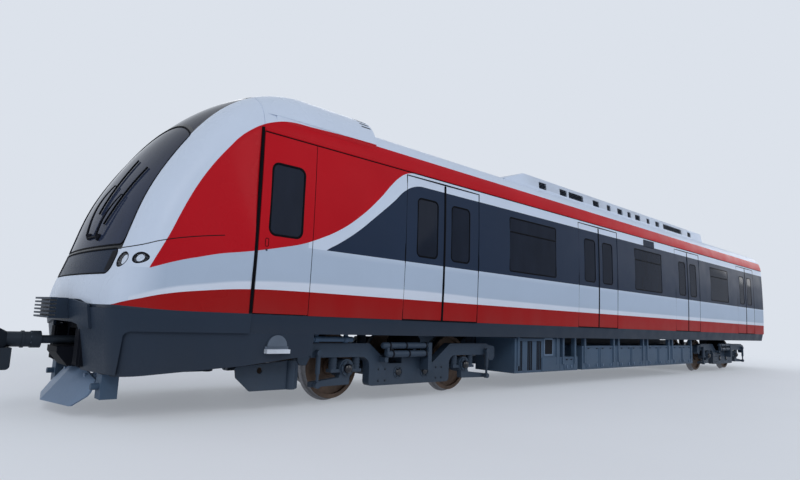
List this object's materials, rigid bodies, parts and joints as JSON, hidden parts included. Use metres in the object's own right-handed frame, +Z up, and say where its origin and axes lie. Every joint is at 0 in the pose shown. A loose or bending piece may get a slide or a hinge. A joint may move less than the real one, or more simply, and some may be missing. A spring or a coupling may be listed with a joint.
{
  "type": "light rail leading car with driver's cab",
  "caption": "Leading car of a light rail train: driver's cab with raked windscreen, plug doors along both sides, bogies with steel wheels, front coupler and rear gangway.",
  "frame": {"origin": "on the floor under the wheel flanges, at half the overall length and width; the rail head is 28 mm higher", "axes": "+X forwards to the cab end, +Y to the left side, +Z up"},
  "size_m": [21, 2.8724, 3.9599],
  "materials": {
    "bellows": "folded grey coated fabric",
    "black_panel": "gloss black panel",
    "black_plastic": "matte black plastic",
    "bogie_paint": "satin dark grey paint, dusty",
    "coupler_steel": "cast steel, dark paint",
    "dark_grey_paint": "satin dark grey paint",
    "deflector_paint": "satin light grey paint",
    "equipment_paint": "matte grey paint",
    "inner_panel": "light grey moulding",
    "lamp": "lamp glass over a reflector",
    "mask_paint": "painted moulding, white with red areas",
    "nose_glass": "dark tinted glass",
    "pole_steel": "brushed stainless steel",
    "roof_paint": "satin white paint with a red cantrail",
    "rubber": "matte black rubber",
    "seat_cloth": "woven seat cover",
    "seat_shell": "moulded seat",
    "side_paint": "satin silver white paint with red bands",
    "underframe_paint": "matte dark grey paint",
    "wheel_steel": "worn rolling steel",
    "window_glass": "tinted glass"
  },
  "bodies": {
    "car_body": {"underframe": "underframe_paint", "side_wall_left": "side_paint", "side_wall_right": "side_paint", "roof": "roof_paint", "rear_end_wall": "side_paint", "gangway_bellows": "bellows", "gangway_frame": "pole_steel", "side_windows": "window_glass", "passenger_doors_left": "side_paint", "passenger_doors_right": "side_paint", "door_windows_left": "window_glass", "door_windows_right": "window_glass", "door_seals": "rubber", "cab_door_hinges": "dark_grey_paint", "cab_mask": "mask_paint", "cab_dome": "mask_paint", "windscreen": "nose_glass", "lower_front_panel": "black_panel", "display_panel": "nose_glass", "headlamps": "lamp", "front_skirt": "dark_grey_paint", "bumper": "dark_grey_paint", "anticlimber": "dark_grey_paint", "obstacle_deflector": "deflector_paint", "cab_side_panels": "dark_grey_paint", "cab_steps": "pole_steel", "coupler_anchors": "coupler_steel", "coupler_housing": "black_plastic", "under_cab_boxes": "equipment_paint", "underfloor_boxes": "equipment_paint", "air_reservoirs": "equipment_paint", "roof_fairing": "roof_paint", "roof_antennas": "black_plastic", "passenger_seats": "seat_shell", "grab_poles": "pole_steel", "cab_partition": "inner_panel", "driver_desk": "black_plastic", "driver_seat": "seat_cloth"},
    "bogie_1": {"bogie_frame_front": "bogie_paint", "axle_boxes_front": "bogie_paint", "air_springs_front": "rubber", "dampers_front": "bogie_paint"},
    "bogie_2": {"bogie_frame_rear": "bogie_paint", "axle_boxes_rear": "bogie_paint", "air_springs_rear": "rubber", "dampers_rear": "bogie_paint"},
    "axle_1": {"wheelset_1": "wheel_steel"},
    "axle_2": {"wheelset_2": "wheel_steel"},
    "axle_3": {"wheelset_3": "wheel_steel"},
    "axle_4": {"wheelset_4": "wheel_steel"},
    "front_coupling": {"coupler_front": "coupler_steel"},
    "rear_coupling": {"coupler_rear": "coupler_steel"},
    "left_cab_door": {"cab_door_left": "side_paint", "cab_door_glass_left": "window_glass"},
    "right_cab_door": {"cab_door_right": "side_paint", "cab_door_glass_right": "window_glass"}
  },
  "joints": [
    {"name": "bogie_1_turn", "type": "hinge", "parent": "car_body", "child": "bogie_1", "pos_m": [5.55, 0, 0.5], "axis": [0, 0, 1], "range_deg": [-4, 4]},
    {"name": "bogie_2_turn", "type": "hinge", "parent": "car_body", "child": "bogie_2", "pos_m": [-7.1, 0, 0.5], "axis": [0, 0, 1], "range_deg": [-4, 4]},
    {"name": "axle_1_spin", "type": "hinge", "parent": "bogie_1", "child": "axle_1", "pos_m": [6.7, 0, 0.448], "axis": [0, 1, 0], "continuous": true},
    {"name": "axle_2_spin", "type": "hinge", "parent": "bogie_1", "child": "axle_2", "pos_m": [4.4, 0, 0.448], "axis": [0, 1, 0], "continuous": true},
    {"name": "axle_3_spin", "type": "hinge", "parent": "bogie_2", "child": "axle_3", "pos_m": [-5.95, 0, 0.448], "axis": [0, 1, 0], "continuous": true},
    {"name": "axle_4_spin", "type": "hinge", "parent": "bogie_2", "child": "axle_4", "pos_m": [-8.25, 0, 0.448], "axis": [0, 1, 0], "continuous": true},
    {"name": "front_coupler_swing", "type": "hinge", "parent": "car_body", "child": "front_coupling", "pos_m": [8.8, 0, 0.733], "axis": [0, 0, 1], "range_deg": [-20, 20]},
    {"name": "rear_coupler_swing", "type": "hinge", "parent": "car_body", "child": "rear_coupling", "pos_m": [-9.5, 0, 0.733], "axis": [0, 0, 1], "range_deg": [-12, 12]},
    {"name": "left_cab_door_swing", "type": "hinge", "parent": "car_body", "child": "left_cab_door", "pos_m": [7.563, 1.356, 2], "axis": [0, 0, -1], "range_deg": [0, 85]},
    {"name": "right_cab_door_swing", "type": "hinge", "parent": "car_body", "child": "right_cab_door", "pos_m": [7.563, -1.356, 2], "axis": [0, 0, 1], "range_deg": [0, 85]}
  ]
}
